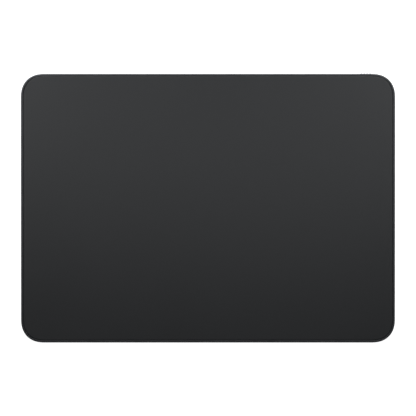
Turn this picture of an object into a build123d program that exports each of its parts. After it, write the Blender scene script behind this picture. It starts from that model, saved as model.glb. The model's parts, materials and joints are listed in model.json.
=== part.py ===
from build123d import *
from math import atan2, cos, radians, sin, tan
import os

# A wedge-shaped trackpad with a glass top, in millimetres.
# The origin is on the table, under the middle of the body. X points to the user's
# right, Y away from the user to the thick end, and Z up. The glass, and all that
# moves with it, is drawn on the touch plane, which leans with the wedge.

# Driving dimensions of the body
body_width = 160.0
body_depth = 114.9
front_height = 4.9
rear_height = 10.9
foot_stand = 0.5
cut_overrun = 5.0

# Corners in plan: a main arc with a gentler arc on each side of it
corner_radius = 8.4
corner_easing = 3.6
corner_easing_angle = 16.0

# Walls of the enclosure, and the rim round the glass
wall_thickness = 2.6
floor_thickness = 0.7
belly_radius = 3.2
rim_width = 0.85
rim_outer_radius = 0.35
rim_inner_radius = 0.12
mouth_chamfer = 0.15

# Touch plate, from the glass down
glass_thickness = 0.8
glass_edge_radius = 0.3
glass_glue_thickness = 0.1
sensor_board_thickness = 0.8
sensor_board_inset = 3.0
sensor_board_corner_radius = 5.0
gel_thickness = 0.4
gel_margin = 0.5

# Travel of the touch plate, and the stops under its edge
press_travel = 0.2
haptic_travel = 0.06
touch_margin = 0.06
stop_margin = 0.05
stop_thickness = 0.25
stop_length = 12.0
stop_width = 1.2
stop_place_share = 0.28

# Bending springs that carry the plate, one near each corner
flexure_thickness = 0.4
flexure_end_gap = 0.9
flexure_pad_length = 9.0
flexure_pad_width = 9.0
flexure_neck_length = 5.0
flexure_neck_width = 5.0
flexure_tip_length = 11.0
flexure_tip_width = 8.0
flexure_corner_radius = 0.5
flexure_front_inset = 15.0
flexure_rear_inset = 17.5
flexure_boss_margin = 1.0
gel_carrier_thickness = 0.3
gauge_length = 3.0
gauge_width = 2.0
gauge_thickness = 0.1

# Screws, all of one kind but for their length, and the posts that take them
screw_radius = 0.8
screw_fit = 0.02
screw_clearance = 0.1
screw_head_radius = 1.4
screw_head_height = 0.35
screw_recess_radius = 0.7
screw_recess_depth = 0.2
thread_depth = 1.0
screw_tip_gap = 0.1
post_radius = 1.9

# Bottom cover and feet
cover_thickness = 0.5
cover_glue_thickness = 0.1
cover_inset = 5.0
cover_corner_radius = 6.0
cover_gap = 0.12
foot_radius = 5.5
foot_edge_radius = 0.2
foot_gap = 0.1
foot_side_inset = 17.0
foot_end_inset = 15.5

# Electromagnet that tugs the plate along its own depth, and its armature
actuator_rear_y = -11.0
actuator_headroom = 0.3
core_length = 62.0
yoke_depth = 3.5
tooth_count = 3
tooth_pitch = 21.0
tooth_width = 9.0
tooth_length = 9.0
tooth_height = 1.2
coil_length = 7.0
coil_side_thickness = 2.2
coil_flat_thickness = 0.9
coil_corner_radius = 0.8
coil_fit = 0.05
air_gap = 0.4
armature_bar_length = 58.0
armature_bar_depth = 2.4
armature_plate_length = 70.0
armature_plate_depth = 9.0
armature_plate_thickness = 0.6
bracket_thickness = 0.8
bracket_ear_length = 6.0
bracket_ear_gap = 2.0
bracket_ear_depth = 8.5
bracket_ear_thickness = 0.6
bracket_ear_drop = 1.6
bracket_screw_spacing = 4.6

# Circuit boards, and the parts on the main board
board_thickness = 0.8
board_wall_gap = 0.8
logic_board_boss_gap = 4.7
logic_board_depth = 9.6
logic_board_screw_inset = 2.0
board_gap = 0.8
chip_back_gap = 0.2
shield_length = 10.0
shield_depth = 7.4
shield_height = 1.3
antenna_length = 4.0
antenna_depth = 6.0
antenna_height = 1.8
antenna_sheet = 0.3
processor_side = 6.0
processor_height = 0.9
charger_side = 3.0
charger_height = 0.8
flex_connector_length = 7.0
flex_connector_depth = 2.4
flex_connector_height = 1.0
small_connector_length = 4.0
small_connector_depth = 1.4
small_connector_height = 0.7
small_connector_count = 2
small_connector_gap = 3.3
small_connector_pitch = 11.2

# Ribbon cables
ribbon_thickness = 0.15
ribbon_width = 1.6
ribbon_lane_gap = 1.0
battery_ribbon_width = 3.2
sensor_ribbon_gap = 0.06

# Rechargeable cell and its protection board
battery_glue_thickness = 0.15
battery_gap = 2.0
battery_headroom = 0.3
battery_side_gap = 1.0
battery_edge_radius = 1.2
battery_glue_inset = 6.0
battery_board_length = 3.2
battery_board_end_gap = 0.3
battery_board_inset = 3.0

# Charging socket in the middle of the rear wall
port_opening_width = 8.34
port_opening_height = 2.56
port_shell_wall = 0.3
port_shell_length = 7.3
port_recess = 0.25
port_hole_gap = 0.08
port_fit = 0.03
port_base_length = 1.5
port_tongue_width = 6.69
port_tongue_thickness = 0.7
port_tongue_length = 4.45
port_contact_count = 12
port_contact_pitch = 0.5
port_contact_width = 0.26
port_contact_length = 3.6
port_contact_thickness = 0.05
port_board_width = 22.0
port_board_depth = 9.0
port_bracket_thickness = 0.3
port_bracket_depth = 4.6
port_bracket_fit = 0.05
port_bracket_ear_length = 4.4
port_screw_spacing = 14.4

# Slide switch in the rear wall, near the right corner
switch_side_inset = 13.9
switch_slot_length = 8.2
switch_slot_height = 2.2
switch_travel = 2.8
knob_length = 4.8
knob_height = 2.0
knob_stand = 0.2
knob_groove_count = 3
knob_groove_pitch = 1.25
knob_groove_width = 0.45
knob_groove_depth = 0.35
slider_length = 11.3
slider_height = 3.4
slider_thickness = 1.2
slider_wall_gap = 0.35
slider_fit = 0.1
slider_lead = 6.0
indicator_thickness = 0.12
indicator_length = 3.0
switch_housing_length = 15.2
switch_housing_back = 1.5
switch_housing_rail = 0.6
switch_housing_front_gap = 0.3
switch_window_height = 1.8
switch_window_margin = 0.3
switch_board_length = 11.6
switch_board_height = 3.8
switch_ear_length = 3.8
switch_ear_depth = 4.3
switch_ear_thickness = 0.6
switch_screw_spacing = 10.0
wiper_length = 2.4
wiper_height = 1.4
wiper_gap = 0.04

# Chips and the connector under the sensor board
touch_chip_side = 8.0
touch_chip_height = 0.9
touch_chip_pitch = 26.0
touch_chip_inset = 33.0
sensor_connector_depth = 3.0
sensor_connector_height = 0.9

# Angles, heights and places that follow from the sizes above
touch_tilt = atan2(rear_height - front_height, body_depth)
middle_height = (front_height + rear_height) / 2
touch_depth = body_depth / cos(touch_tilt)
touch_plane = Plane(
    origin=(0, 0, middle_height),
    x_dir=(1, 0, 0),
    z_dir=(0, -sin(touch_tilt), cos(touch_tilt)),
)
floor_underside = foot_stand + cover_thickness + cover_glue_thickness
floor_top = floor_underside + floor_thickness
rear_wall_inside = body_depth / 2 - wall_thickness
side_wall_inside = body_width / 2 - wall_thickness

# Gap round the glass, and depths below the touch plane
touch_gap = haptic_travel + touch_margin
stop_clearance = press_travel + stop_margin
ledge_depth = glass_thickness + stop_clearance + stop_thickness
board_underside = glass_thickness + glass_glue_thickness + sensor_board_thickness
carrier_top = board_underside + gel_thickness
flexure_top = carrier_top + gel_carrier_thickness
flexure_underside = flexure_top + flexure_thickness
core_top = board_underside + press_travel + actuator_headroom
core_height = tooth_height + 2 * (coil_fit + coil_flat_thickness)
core_bottom = core_top + core_height
ear_top = core_top + bracket_ear_drop
ear_underside = ear_top + bracket_ear_thickness

# Rows and columns in plan
front_row_y = flexure_front_inset - touch_depth / 2
rear_row_y = touch_depth / 2 - flexure_rear_inset
flexure_outer_x = side_wall_inside - flexure_end_gap
flexure_neck_x = flexure_outer_x - flexure_pad_length - flexure_neck_length / 2
flexure_tip_x = flexure_neck_x - flexure_neck_length / 2 - flexure_tip_length / 2
yoke_front_y = actuator_rear_y + yoke_depth
tooth_end_y = yoke_front_y + tooth_length
armature_y = tooth_end_y + air_gap
ear_x = core_length / 2 + bracket_ear_gap + bracket_ear_length / 2
ear_y = actuator_rear_y + bracket_ear_depth / 2
board_rear_y = rear_wall_inside - board_wall_gap
board_front_y = board_rear_y - logic_board_depth
board_middle_y = (board_front_y + board_rear_y) / 2
logic_board_right_x = -port_board_width / 2 - board_gap
logic_board_left_x = flexure_pad_length - flexure_outer_x + logic_board_boss_gap
logic_board_length = logic_board_right_x - logic_board_left_x

# Charging socket and the level that the circuit boards share
port_z = (foot_stand + rear_height) / 2
port_shell_width = port_opening_width + 2 * port_shell_wall
port_shell_height = port_opening_height + 2 * port_shell_wall
port_mouth_y = body_depth / 2 - port_recess
port_back_y = port_mouth_y - port_shell_length
board_top = port_z - port_shell_height / 2
board_bottom = board_top - board_thickness

# Power switch
switch_x = body_width / 2 - switch_side_inset
switch_z = port_z
knob_x = switch_x + switch_travel / 2
slider_front_y = rear_wall_inside - slider_wall_gap
slider_back_y = slider_front_y - slider_thickness
slider_left_x = knob_x - slider_lead
housing_inner_y = slider_back_y - slider_fit
housing_back_y = housing_inner_y - switch_housing_back
housing_front_y = slider_front_y - switch_housing_front_gap
housing_left_x = slider_left_x - switch_travel - switch_housing_front_gap
housing_right_x = housing_left_x + switch_housing_length
housing_x = (housing_left_x + housing_right_x) / 2
housing_height = slider_height + 2 * (slider_fit + switch_housing_rail)
housing_bottom = switch_z - housing_height / 2
switch_ear_top = housing_bottom + switch_ear_thickness
switch_screw_y = housing_back_y - switch_ear_depth + screw_head_radius + screw_clearance

# Cell between the electromagnet and the circuit boards
battery_front_y = armature_y + armature_plate_depth + battery_gap
battery_rear_y = board_front_y - battery_gap
battery_half_length = flexure_tip_x - flexure_tip_length / 2 - battery_side_gap
battery_bottom = floor_top + battery_glue_thickness
battery_board_right_x = -battery_half_length - battery_board_end_gap


def touch_height(y):
    """Height of the touch surface above the table."""
    return middle_height + y * tan(touch_tilt)


battery_top = touch_height(battery_front_y) - board_underside - press_travel - battery_headroom


# Shapes that many pieces share

upward = (Align.CENTER, Align.CENTER, Align.MIN)
downward = (Align.CENTER, Align.CENTER, Align.MAX)


def outline(depth, inset):
    """The body's plan outline, moved in by an inset; every arc keeps its centre."""
    angle = radians(corner_easing_angle)
    easing_radius = corner_radius + corner_easing
    start = easing_radius - corner_easing * (cos(angle) - sin(angle))
    half_width = body_width / 2
    half_depth = depth / 2
    arcs = []
    for side_x, side_y, turn in ((1, 1, 0), (-1, 1, 90), (-1, -1, 180), (1, -1, 270)):
        beside_x = (side_x * (half_width - easing_radius), side_y * (half_depth - start))
        beside_y = (side_x * (half_width - start), side_y * (half_depth - easing_radius))
        middle = (
            side_x * (half_width - easing_radius + corner_easing * cos(angle)),
            side_y * (half_depth - start + corner_easing * sin(angle)),
        )
        first, last = (beside_x, beside_y) if turn in (0, 180) else (beside_y, beside_x)
        main_turn = 90 - 2 * corner_easing_angle
        arcs.append(CenterArc(first, easing_radius - inset, turn, corner_easing_angle))
        arcs.append(CenterArc(middle, corner_radius - inset, turn + corner_easing_angle, main_turn))
        last_turn = turn + 90 - corner_easing_angle
        arcs.append(CenterArc(last, easing_radius - inset, last_turn, corner_easing_angle))
    lines = [Line(arcs[3 * i + 2] @ 1, arcs[(3 * i + 3) % 12] @ 0) for i in range(4)]
    return make_face(arcs + lines)


def box_between(low, high):
    """A box given by two opposite corners."""
    middle = [(a + b) / 2 for a, b in zip(low, high)]
    size = [abs(b - a) for a, b in zip(low, high)]
    return Pos(*middle) * Box(*size)


def group(shapes):
    """Separate solids kept together as one node."""
    return Compound([solid for shape in shapes for solid in shape.solids()])


def on_side(shape, side):
    """A shape drawn on the right, or its mirror image on the left."""
    return shape if side > 0 else mirror(shape, about=Plane.YZ)


def rear_plane(y, z):
    """A plane that faces away from the user."""
    return Plane(origin=(0, y, z), x_dir=(-1, 0, 0), z_dir=(0, 1, 0))


def above_plane(depth):
    """Everything above a level below the touch plane."""
    size = 2 * (body_width + body_depth)
    return touch_plane * Pos(0, 0, -depth) * Box(size, size, size, align=upward)


def leaning_boss(low_x, high_x, low_y, high_y, top):
    """A boss on the floor whose top is parallel to the touch plane."""
    column = touch_plane * box_between((low_x, low_y, -2 * rear_height), (high_x, high_y, -top))
    room_low = (-body_width / 2, -body_depth / 2, floor_underside)
    room_high = (body_width / 2, body_depth / 2, 2 * rear_height)
    return column & box_between(room_low, room_high)


def screw(grip):
    """A low-headed screw: its head stands on the origin and its shank points down."""
    head = Cylinder(screw_head_radius, screw_head_height, align=upward)
    shank = Cylinder(screw_radius, grip + thread_depth, align=downward)
    recess = extrude(RegularPolygon(screw_recess_radius, 6), amount=cut_overrun)
    return head + shank - Pos(0, 0, screw_head_height - screw_recess_depth) * recess


def tapped_hole():
    """The blind hole that a screw threads into, cut down from the origin."""
    depth = thread_depth + screw_tip_gap
    hole = Cylinder(screw_radius + screw_fit, depth + cut_overrun, align=upward)
    return Pos(0, 0, -depth) * hole


def clearance_hole():
    """The hole that a screw passes through."""
    return Cylinder(screw_radius + screw_clearance, 2 * cut_overrun)


# Places of the screws, as locations whose Z axis is the screw's axis


def flexure_screw_places(side, row_y, depth):
    """Two screws in line along the fixed pad of one flexure."""
    pad_x = flexure_outer_x - flexure_pad_length / 2
    offset = flexure_pad_width / 4
    return [touch_plane * Pos(side * pad_x, row_y + step * offset, -depth) for step in (-1, 1)]


def actuator_screw_places(depth):
    steps = [step * bracket_screw_spacing / 2 for step in (-1, 1)]
    return [touch_plane * Pos(side * ear_x, ear_y + step, -depth) for side in (-1, 1) for step in steps]


def logic_board_screw_places(z):
    ends = (logic_board_left_x + logic_board_screw_inset, logic_board_right_x - logic_board_screw_inset)
    rows = (board_front_y + logic_board_screw_inset, board_rear_y - logic_board_screw_inset)
    return [Pos(x, y, z) for x in ends for y in rows]


def port_screw_places(z):
    return [Pos(side * port_screw_spacing / 2, port_bracket_y(), z) for side in (-1, 1)]


def switch_screw_places(z):
    return [Pos(housing_x + side * switch_screw_spacing / 2, switch_screw_y, z) for side in (-1, 1)]


def port_bracket_y():
    """The strap crosses the middle of the part of the shell behind the wall."""
    return (port_back_y + rear_wall_inside) / 2


flexure_corners = {
    "front_left": (-1, front_row_y),
    "front_right": (1, front_row_y),
    "rear_left": (-1, rear_row_y),
    "rear_right": (1, rear_row_y),
}

foot_corners = {
    "front_left": (-1, -1),
    "front_right": (1, -1),
    "rear_left": (-1, 1),
    "rear_right": (1, 1),
}


def foot_place(side_x, side_y, z):
    return Pos(side_x * (body_width / 2 - foot_side_inset), side_y * (body_depth / 2 - foot_end_inset), z)


# Enclosure


def enclosure_shell():
    """The outer wedge with its rim, the pocket for the glass and the cavity."""
    shell = Pos(0, 0, foot_stand) * extrude(outline(body_depth, 0), amount=2 * rear_height)
    shell = fillet(shell.edges().group_by(Axis.Z)[0], belly_radius)
    shell -= above_plane(0)
    across = Axis(touch_plane.origin, touch_plane.z_dir)
    top_face = shell.faces().filter_by(touch_plane).sort_by(across)[-1]
    shell = fillet(top_face.edges(), rim_outer_radius)
    pocket = extrude(outline(touch_depth, rim_width), amount=cut_overrun)
    shell -= touch_plane * Pos(0, 0, -ledge_depth) * pocket
    rim_face = shell.faces().filter_by(touch_plane).sort_by(across)[-1]
    shell = fillet(rim_face.inner_wires()[0].edges(), rim_inner_radius)
    cavity = extrude(outline(body_depth, wall_thickness), amount=2 * rear_height)
    return shell - Pos(0, 0, floor_top) * cavity


def cover_recess():
    """The shallow recess in the underside that takes the bottom cover."""
    plan = RectangleRounded(body_width - 2 * cover_inset, body_depth - 2 * cover_inset, cover_corner_radius)
    return Pos(0, 0, floor_underside - cut_overrun) * extrude(plan, amount=cut_overrun)


def enclosure_bosses():
    """Bosses and posts that stand on the floor."""
    into_wall = side_wall_inside + wall_thickness / 2
    half_boss = flexure_pad_width / 2 + flexure_boss_margin
    bosses = []
    for side, row_y in flexure_corners.values():
        inner_x = flexure_outer_x - flexure_pad_length
        ends = sorted((side * inner_x, side * into_wall))
        bosses.append(leaning_boss(*ends, row_y - half_boss, row_y + half_boss, flexure_underside))
    for side in (-1, 1):
        low_x = side * ear_x - bracket_ear_length / 2
        high_x = side * ear_x + bracket_ear_length / 2
        high_y = actuator_rear_y + bracket_ear_depth
        bosses.append(leaning_boss(low_x, high_x, actuator_rear_y, high_y, ear_underside))
    board_post = Cylinder(post_radius, board_bottom - floor_underside, align=upward)
    switch_post = Cylinder(post_radius, housing_bottom - floor_underside, align=upward)
    bosses += [place * board_post for place in logic_board_screw_places(floor_underside)]
    bosses += [place * board_post for place in port_screw_places(floor_underside)]
    bosses += [place * switch_post for place in switch_screw_places(floor_underside)]
    pad_low = (housing_left_x, housing_back_y, floor_underside)
    pad_high = (housing_right_x, housing_front_y, housing_bottom)
    bosses.append(box_between(pad_low, pad_high))
    return bosses


def enclosure_screw_holes():
    holes = []
    for side, row_y in flexure_corners.values():
        holes += [place * tapped_hole() for place in flexure_screw_places(side, row_y, flexure_underside)]
    holes += [place * tapped_hole() for place in actuator_screw_places(ear_underside)]
    holes += [place * tapped_hole() for place in logic_board_screw_places(board_bottom)]
    holes += [place * tapped_hole() for place in port_screw_places(board_bottom)]
    holes += [place * tapped_hole() for place in switch_screw_places(housing_bottom)]
    return holes


def rear_wall_hole(middle_x, width, height):
    """A round-ended hole through the rear wall, with a chamfered mouth."""
    hole = extrude(SlotOverall(width, height), amount=wall_thickness + cut_overrun, both=True)
    mouth = SlotOverall(width + 2 * mouth_chamfer, height + 2 * mouth_chamfer)
    cut = hole + extrude(mouth, amount=-mouth_chamfer, taper=45)
    return rear_plane(body_depth / 2, port_z) * Pos(-middle_x, 0, 0) * cut


def rear_wall_holes():
    """The mouth of the charging socket and the slot of the power switch."""
    width = port_shell_width + 2 * port_hole_gap
    height = port_shell_height + 2 * port_hole_gap
    socket = rear_wall_hole(0, width, height)
    return [socket, rear_wall_hole(switch_x, switch_slot_length, switch_slot_height)]


def enclosure():
    body = enclosure_shell() - cover_recess()
    body += enclosure_bosses()
    body -= enclosure_screw_holes()
    return body - rear_wall_holes()


# Bottom cover and feet


def cover_sheet(z, thickness, gap):
    """A sheet in the cover's recess, with a round hole for each foot."""
    width = body_width - 2 * (cover_inset + gap)
    depth = body_depth - 2 * (cover_inset + gap)
    sheet = Pos(0, 0, z) * extrude(RectangleRounded(width, depth, cover_corner_radius), amount=thickness)
    hole = Cylinder(foot_radius + foot_gap, 2 * cut_overrun)
    return sheet - [foot_place(x, y, z) * hole for x, y in foot_corners.values()]


def foot(side_x, side_y):
    """A rubber disc bonded to the floor through the cover, with a softened lower edge."""
    disc = foot_place(side_x, side_y, 0) * Cylinder(foot_radius, floor_underside, align=upward)
    return fillet(disc.edges().group_by(Axis.Z)[0], foot_edge_radius)


# Touch plate


def cover_glass():
    blank = extrude(outline(touch_depth, rim_width + touch_gap), amount=-glass_thickness)
    return touch_plane * fillet(blank.edges().group_by(Axis.Z)[-1], glass_edge_radius)


def sensor_sheet(top, thickness):
    """A sheet of the sensor board's outline, hanging below the glass."""
    inset = rim_width + touch_gap + sensor_board_inset
    plan = RectangleRounded(body_width - 2 * inset, touch_depth - 2 * inset, sensor_board_corner_radius)
    return touch_plane * Pos(0, 0, -top) * extrude(plan, amount=-thickness)


def touch_chips():
    """Three chips under the front half of the sensor board."""
    y = touch_chip_inset - touch_depth / 2
    chip = Box(touch_chip_side, touch_chip_side, touch_chip_height, align=downward)
    steps = (-touch_chip_pitch, 0, touch_chip_pitch)
    return group(touch_plane * Pos(x, y, -board_underside) * chip for x in steps)


board_row = {
    "antenna": antenna_length,
    "shield": shield_length,
    "processor": processor_side,
    "flex_connector": flex_connector_length,
    "charger": charger_side,
}


def row_place(piece):
    """Middle of a piece in the row along the main board, where all the gaps are alike."""
    end_room = logic_board_screw_inset + screw_head_radius + screw_clearance
    gap = (logic_board_length - 2 * end_room - sum(board_row.values())) / (len(board_row) + 1)
    order = list(board_row)
    before = order[: order.index(piece)]
    taken = sum(board_row[name] + gap for name in before)
    return logic_board_left_x + end_room + taken + gap + board_row[piece] / 2


sensor_connector_x = row_place("flex_connector")
sensor_connector_y = board_middle_y


def sensor_connector():
    body = Box(flex_connector_length, sensor_connector_depth, sensor_connector_height, align=downward)
    return touch_plane * Pos(sensor_connector_x, sensor_connector_y, -board_underside) * body


def gel_pad(side, row_y):
    length = flexure_tip_length - 2 * gel_margin
    width = flexure_tip_width - 2 * gel_margin
    pad = Box(length, width, gel_thickness, align=downward)
    return touch_plane * Pos(side * flexure_tip_x, row_y, -board_underside) * pad


def gel_carrier(side, row_y):
    """The steel tip plate between a flexure and its gel pad."""
    plate = Box(flexure_tip_length, flexure_tip_width, gel_carrier_thickness, align=downward)
    return touch_plane * Pos(side * flexure_tip_x, row_y, -carrier_top) * plate


def armature():
    """A steel plate bonded under the sensor board, with a bar that faces the magnet's teeth."""
    half_plate = armature_plate_length / 2
    half_bar = armature_bar_length / 2
    plate_bottom = -board_underside - armature_plate_thickness
    plate_low = (-half_plate, armature_y, plate_bottom)
    plate_high = (half_plate, armature_y + armature_plate_depth, -board_underside)
    bar_low = (-half_bar, armature_y, -core_bottom)
    bar_high = (half_bar, armature_y + armature_bar_depth, plate_bottom)
    return touch_plane * (box_between(plate_low, plate_high) + box_between(bar_low, bar_high))


# Flexures, their gauges and the travel stops


def flexure(side, row_y):
    """A flat bending spring: fixed pad at the wall, narrow neck, and a tip under the plate."""
    pad_x = flexure_outer_x - flexure_pad_length / 2
    plan = Pos(pad_x, row_y) * Rectangle(flexure_pad_length, flexure_pad_width)
    plan += Pos(flexure_neck_x, row_y) * Rectangle(flexure_neck_length, flexure_neck_width)
    plan += Pos(flexure_tip_x, row_y) * Rectangle(flexure_tip_length, flexure_tip_width)
    plan = fillet(plan.vertices(), flexure_corner_radius)
    blank = touch_plane * Pos(0, 0, -flexure_top) * extrude(plan, amount=-flexure_thickness)
    blank -= [place * clearance_hole() for place in flexure_screw_places(1, row_y, flexure_top)]
    return on_side(blank, side)


def flexure_screws():
    screws = []
    for side, row_y in flexure_corners.values():
        places = flexure_screw_places(side, row_y, flexure_top)
        screws += [place * screw(flexure_thickness) for place in places]
    return group(screws)


def strain_gauges():
    """One gauge on the neck of each flexure."""
    gauge = Box(gauge_length, gauge_width, gauge_thickness, align=upward)
    places = [Pos(side * flexure_neck_x, row_y, -flexure_top) for side, row_y in flexure_corners.values()]
    return group(touch_plane * place * gauge for place in places)


def travel_stops():
    """Two soft stops on the ledge along each side of the glass."""
    inset = (rim_width + wall_thickness) / 2
    along_x = stop_place_share * body_width
    along_y = stop_place_share * touch_depth
    flat = Box(stop_length, stop_width, stop_thickness, align=upward)
    upright = Box(stop_width, stop_length, stop_thickness, align=upward)
    stops = []
    for side in (-1, 1):
        for step in (-1, 1):
            stops.append(Pos(step * along_x, side * (touch_depth / 2 - inset), -ledge_depth) * flat)
            stops.append(Pos(side * (body_width / 2 - inset), step * along_y, -ledge_depth) * upright)
    return group(touch_plane * stop for stop in stops)


# Electromagnet


def tooth_places():
    middle = (tooth_count - 1) / 2
    return [(i - middle) * tooth_pitch for i in range(tooth_count)]


def actuator_core():
    """A laminated yoke with teeth that point at the armature's bar."""
    half = core_length / 2
    core = box_between((-half, actuator_rear_y, -core_bottom), (half, yoke_front_y, -core_top))
    middle_z = -(core_top + core_bottom) / 2
    for x in tooth_places():
        low = (x - tooth_width / 2, yoke_front_y, middle_z - tooth_height / 2)
        high = (x + tooth_width / 2, tooth_end_y, middle_z + tooth_height / 2)
        core += box_between(low, high)
    return touch_plane * core


def actuator_coils():
    """One wound coil round each tooth."""
    wound_width = tooth_width + 2 * (coil_fit + coil_side_thickness)
    coil = Box(wound_width, coil_length, core_height)
    coil = fillet(coil.edges().filter_by(Axis.Y), coil_corner_radius)
    coil -= Box(tooth_width + 2 * coil_fit, coil_length + cut_overrun, tooth_height + 2 * coil_fit)
    middle_y = (yoke_front_y + tooth_end_y) / 2
    middle_z = -(core_top + core_bottom) / 2
    return group(touch_plane * Pos(x, middle_y, middle_z) * coil for x in tooth_places())


def actuator_bracket():
    """A strip behind the yoke with an ear at each end, screwed to two bosses."""
    half = ear_x + bracket_ear_length / 2
    strip_low = (-half, actuator_rear_y - bracket_thickness, -core_bottom)
    bracket = box_between(strip_low, (half, actuator_rear_y, -ear_top))
    for side in (-1, 1):
        low = (side * ear_x - bracket_ear_length / 2, actuator_rear_y, -ear_underside)
        high = (side * ear_x + bracket_ear_length / 2, actuator_rear_y + bracket_ear_depth, -ear_top)
        bracket += box_between(low, high)
    bracket = touch_plane * bracket
    return bracket - [place * clearance_hole() for place in actuator_screw_places(ear_top)]


def actuator_screws():
    return group(place * screw(bracket_ear_thickness) for place in actuator_screw_places(ear_top))


def actuator_flex():
    """A ribbon on the floor from the coils, past the cell, to the main board."""
    lane_x = battery_board_right_x - battery_board_length - ribbon_lane_gap - ribbon_width
    top = floor_top + ribbon_thickness
    lane_low = (lane_x, tooth_end_y - ribbon_width, floor_top)
    ribbon = box_between(lane_low, (-tooth_pitch, tooth_end_y, top))
    ribbon += box_between(lane_low, (lane_x + ribbon_width, board_front_y + ribbon_width, top))
    tail_y = board_front_y + ribbon_width
    tail_low = (lane_x, tail_y - ribbon_thickness, floor_top)
    return ribbon + box_between(tail_low, (lane_x + ribbon_width, tail_y, board_bottom))


# Cell


def battery_cell():
    low = (-battery_half_length, battery_front_y, battery_bottom)
    cell = box_between(low, (battery_half_length, battery_rear_y, battery_top))
    return fillet(cell.edges().filter_by(Axis.Z), battery_edge_radius)


def battery_adhesive():
    half = battery_half_length - battery_glue_inset
    low = (-half, battery_front_y + battery_glue_inset, floor_top)
    return box_between(low, (half, battery_rear_y - battery_glue_inset, battery_bottom))


def battery_board():
    """The protection board at the left end of the cell, in the plane of its tabs."""
    right = battery_board_right_x
    middle = (floor_top + battery_top) / 2
    front = battery_front_y + battery_board_inset
    low = (right - battery_board_length, front, middle - board_thickness / 2)
    board = box_between(low, (right, battery_rear_y - battery_board_inset, middle + board_thickness / 2))
    tab_y = (battery_front_y + battery_rear_y) / 2
    tab_low = (right, tab_y - battery_ribbon_width, middle - ribbon_thickness / 2)
    tab_high = (right + battery_board_end_gap, tab_y + battery_ribbon_width, middle + ribbon_thickness / 2)
    return board + box_between(tab_low, tab_high)


def battery_flex():
    """The ribbon from the protection board to the front edge of the main board."""
    right = battery_board_right_x
    left = right - battery_ribbon_width
    top = (floor_top + battery_top) / 2 + board_thickness / 2
    lap_y = battery_rear_y - battery_board_inset - battery_ribbon_width
    level = board_top + ribbon_thickness
    step_y = board_front_y - ribbon_thickness
    ribbon = box_between((left, lap_y, top), (right, step_y, top + ribbon_thickness))
    step_low = (left, board_front_y - 2 * ribbon_thickness, min(top, board_top))
    step_high = (right, step_y, max(top + ribbon_thickness, level))
    ribbon += box_between(step_low, step_high)
    tail_low = (left, board_front_y - 2 * ribbon_thickness, board_top)
    return ribbon + box_between(tail_low, (right, board_front_y + ribbon_width, level))


# Main board and the parts on it


def logic_board():
    low = (logic_board_left_x, board_front_y, board_bottom)
    board = box_between(low, (logic_board_right_x, board_rear_y, board_top))
    return board - [place * clearance_hole() for place in logic_board_screw_places(board_top)]


def on_board(length, depth, height, x):
    """A block on the main board, against its rear edge but for a small gap."""
    rear = board_rear_y - chip_back_gap
    low = (x - length / 2, rear - depth, board_top)
    return box_between(low, (x + length / 2, rear, board_top + height))


def radio_shield():
    """A folded sheet lid over the radio, open below."""
    lid = on_board(shield_length, shield_depth, shield_height, row_place("shield"))
    return offset(lid, amount=-antenna_sheet, openings=lid.faces().sort_by(Axis.Z)[0])


def board_antenna():
    """A folded sheet antenna on two legs."""
    x = row_place("antenna")
    block = on_board(antenna_length, antenna_depth, antenna_height, x)
    inner_length = antenna_length - 2 * antenna_sheet
    inner_height = antenna_height - antenna_sheet
    room = on_board(inner_length, antenna_depth + cut_overrun, inner_height, x)
    return block - (room + Pos(0, cut_overrun / 2, 0) * room)


def board_connectors():
    """The sensor ribbon's connector and the small ones along the board's front edge."""
    x = sensor_connector_x
    half = flex_connector_depth / 2
    low = (x - flex_connector_length / 2, board_middle_y - half, board_top)
    high = (x + flex_connector_length / 2, board_middle_y + half, board_top + flex_connector_height)
    connectors = [box_between(low, high)]
    front = board_front_y + chip_back_gap
    rear = front + small_connector_depth
    top = board_top + small_connector_height
    for i in range(small_connector_count):
        left = battery_board_right_x + small_connector_gap + i * small_connector_pitch
        connectors.append(box_between((left, front, board_top), (left + small_connector_length, rear, top)))
    return group(connectors)


def board_screws():
    return group(place * screw(board_thickness) for place in logic_board_screw_places(board_top))


def sensor_flex():
    """The folded ribbon between the main board's connector and the sensor board's."""
    front_y = sensor_connector_y - sensor_connector_depth / 2
    fold_y = sensor_connector_y + sensor_connector_depth / 2
    bottom = board_top + flex_connector_height
    top = touch_height(front_y) - board_underside - sensor_connector_height - sensor_ribbon_gap
    middle = (bottom + top) / 2
    outer = Pos(fold_y, middle) * Circle((top - bottom) / 2)
    inner = Pos(fold_y, middle) * Circle((top - bottom) / 2 - ribbon_thickness)
    length = fold_y - front_y
    flat = Pos((front_y + fold_y) / 2, middle) * Rectangle(length, top - bottom)
    room = Pos((front_y + fold_y) / 2, middle) * Rectangle(length, top - bottom - 2 * ribbon_thickness)
    behind = Pos(front_y - length, middle) * Rectangle(2 * length, top - bottom)
    side_view = (outer + flat) - (inner + room) - behind
    width = flex_connector_length - 2 * sensor_ribbon_gap
    return Pos(sensor_connector_x, 0, 0) * extrude(Plane.YZ * side_view, amount=width / 2, both=True)


# Charging socket


def port_shell():
    """A drawn steel shell with a closed back."""
    mouth = rear_plane(port_mouth_y, port_z)
    tube = mouth * extrude(SlotOverall(port_shell_width, port_shell_height), amount=-port_shell_length)
    bore_length = port_shell_length - port_shell_wall
    return tube - mouth * extrude(SlotOverall(port_opening_width, port_opening_height), amount=-bore_length)


def port_tongue():
    """The moulded base in the back of the shell and the tongue that carries the contacts."""
    base = rear_plane(port_back_y + port_shell_wall, port_z)
    plug = SlotOverall(port_opening_width - 2 * port_fit, port_opening_height - 2 * port_fit)
    tongue = Rectangle(port_tongue_width, port_tongue_thickness)
    reach = port_base_length + port_tongue_length
    return base * (extrude(plug, amount=port_base_length) + extrude(tongue, amount=reach))


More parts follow.
